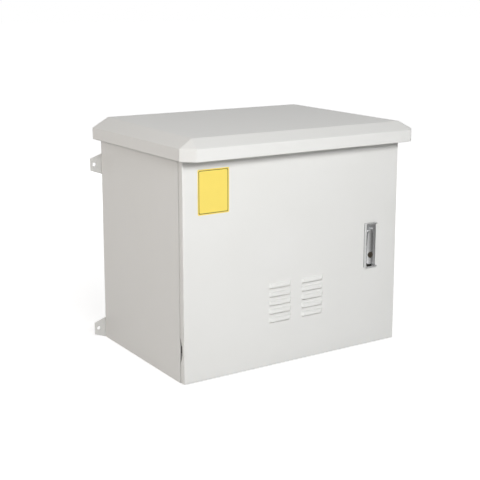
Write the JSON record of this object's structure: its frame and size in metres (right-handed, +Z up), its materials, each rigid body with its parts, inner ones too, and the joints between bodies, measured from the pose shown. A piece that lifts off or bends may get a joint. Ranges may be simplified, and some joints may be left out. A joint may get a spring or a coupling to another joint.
{
  "type": "outdoor wall-mounted equipment cabinet",
  "caption": "Light grey folded-steel wall cabinet for network or utility gear, with an overhanging rain hood, a louvred hinged door, a swing handle with lock, and wall ears.",
  "frame": {"origin": "centre of the bounding box at the base plane", "axes": "+X to the viewer's right facing the door, +Y from the door to the wall, +Z up"},
  "size_m": [0.656, 0.4534, 0.5538],
  "materials": {
    "powder_coat": "light grey polyester powder coat, fine orange peel",
    "zinc": "zinc-plated steel",
    "dark_zinc": "black-passivated zinc plate",
    "chrome": "bright chrome on a zinc casting",
    "rubber": "black foam and rubber",
    "brass": "turned brass",
    "plastic": "black nylon",
    "filter": "white polyester fleece"
  },
  "bodies": {
    "cabinet": {"body_wrap": "powder_coat", "roof_plate": "powder_coat", "floor_plate": "powder_coat", "rain_hood": "powder_coat", "hood_bearer_left": "powder_coat", "hood_bearer_right": "powder_coat", "hood_bolts": "zinc", "hood_nuts": "zinc", "wall_ear_lower_left": "powder_coat", "wall_ear_lower_right": "powder_coat", "wall_ear_upper_left": "powder_coat", "wall_ear_upper_right": "powder_coat", "ear_nuts": "zinc", "depth_rail_lower_left": "zinc", "depth_rail_lower_right": "zinc", "depth_rail_upper_left": "zinc", "depth_rail_upper_right": "zinc", "rack_rail_left": "zinc", "rack_rail_right": "zinc", "rail_bolts": "zinc", "rail_nuts": "zinc", "gland_plate": "zinc", "gland_screws": "zinc", "cable_grommets": "rubber", "earth_stud": "brass", "upper_hinge_bracket": "powder_coat", "upper_hinge_pin": "zinc", "lower_hinge_leaf": "dark_zinc", "lower_hinge_pin": "dark_zinc"},
    "door": {"door_panel": "powder_coat", "upper_hinge_bush": "plastic", "lower_hinge_door_leaf": "dark_zinc", "door_seal": "rubber", "filter_frame": "zinc", "filter_mat": "filter", "filter_nuts": "zinc", "handle_base": "chrome", "handle_gasket": "rubber", "handle_clamp": "zinc", "handle_screws": "zinc", "catch_pad": "plastic"},
    "handle_swivel": {"handle_spindle": "chrome", "lever_pin": "zinc", "latch_cam": "zinc", "cam_bolt": "zinc"},
    "handle_lever": {"lever": "chrome", "lock_barrel": "dark_zinc"},
    "lock_cylinder": {"lock_core": "brass"}
  },
  "joints": [
    {"name": "door_hinge", "type": "hinge", "parent": "cabinet", "child": "door", "pos_m": [-0.2945, -0.16521, 0], "axis": [0, 0, -1], "range_deg": [0, 110]},
    {"name": "handle_turn", "type": "hinge", "parent": "door", "child": "handle_swivel", "pos_m": [0.2137, -0.17671, 0.2935], "axis": [0, -1, 0], "range_deg": [0, 90]},
    {"name": "lever_lift", "type": "hinge", "parent": "handle_swivel", "child": "handle_lever", "pos_m": [0.2137, -0.18241, 0.2935], "axis": [-1, 0, 0], "range_deg": [0, 25]},
    {"name": "key_turn", "type": "hinge", "parent": "handle_lever", "child": "lock_cylinder", "pos_m": [0.2137, -0.18241, 0.2285], "axis": [0, 1, 0], "range_deg": [0, 90]}
  ]
}
